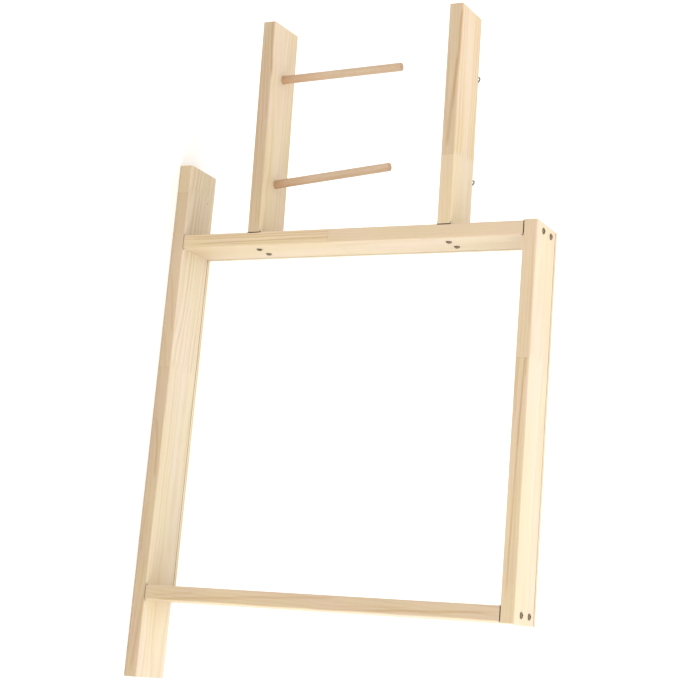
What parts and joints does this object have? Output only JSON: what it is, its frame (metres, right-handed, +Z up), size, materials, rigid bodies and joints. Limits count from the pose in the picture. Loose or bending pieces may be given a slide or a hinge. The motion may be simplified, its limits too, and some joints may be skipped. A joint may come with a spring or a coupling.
{
  "type": "desk tufting frame",
  "caption": "Wooden desk frame that stretches cloth for tufting, on a long clamping foot, with two side arms that hold yarn cones on spindles and guide the yarn.",
  "frame": {"origin": "middle of the foot board's underside, on the table", "axes": "+Z up, +X to the right along the foot board as the worker sees it, +Y away from the worker, towards the gripper strips at the back; the yarn arms reach out to -X"},
  "size_m": [0.9051, 0.0988, 0.5429],
  "materials": {
    "pine_board": "planed softwood, eased edges, no varnish",
    "beech_dowel": "turned hardwood dowel, no varnish",
    "plywood_strip": "sawn thin plywood, no varnish",
    "zinc_steel": "bright zinc plated wire",
    "black_steel": "brown-black phosphated screws, rubbed grey on their heads"
  },
  "bodies": {
    "frame": {"base_board": "pine_board", "left_side_board": "pine_board", "right_side_board": "pine_board", "top_board": "pine_board", "lower_arm": "pine_board", "upper_arm": "pine_board", "bottom_gripper_strip": "plywood_strip", "right_gripper_strip": "plywood_strip", "top_gripper_strip": "plywood_strip", "left_gripper_strip": "plywood_strip", "bottom_gripper_pins": "zinc_steel", "right_gripper_pins": "zinc_steel", "top_gripper_pins": "zinc_steel", "left_gripper_pins": "zinc_steel", "bottom_strip_nails": "zinc_steel", "right_strip_nails": "zinc_steel", "top_strip_nails": "zinc_steel", "left_strip_nails": "zinc_steel", "base_left_screws": "black_steel", "base_right_screws": "black_steel", "top_left_screws": "black_steel", "top_right_screws": "black_steel", "lower_arm_screws": "black_steel", "upper_arm_screws": "black_steel"},
    "outer_spindle": {"outer_spindle": "beech_dowel"},
    "inner_spindle": {"inner_spindle": "beech_dowel"},
    "outer_guide_eye": {"outer_guide_eye": "zinc_steel"},
    "inner_guide_eye": {"inner_guide_eye": "zinc_steel"}
  },
  "joints": [
    {"name": "outer_spindle_lift", "type": "slide", "parent": "frame", "child": "outer_spindle", "axis": [-0.0244, -0.001, 0.9997], "range_m": [0, 0.014]},
    {"name": "inner_spindle_lift", "type": "slide", "parent": "frame", "child": "inner_spindle", "axis": [-0.0906, -0.0038, 0.9959], "range_m": [0, 0.014]},
    {"name": "outer_guide_eye_turn", "type": "hinge", "parent": "frame", "child": "outer_guide_eye", "pos_m": [-0.47054, 0.02734, 0.41125], "axis": [-0.0314, 0.9995, 0], "range_deg": [-90, 90]},
    {"name": "inner_guide_eye_turn", "type": "hinge", "parent": "frame", "child": "inner_guide_eye", "pos_m": [-0.32511, 0.03191, 0.41125], "axis": [-0.0314, 0.9995, 0], "range_deg": [-90, 90]}
  ]
}
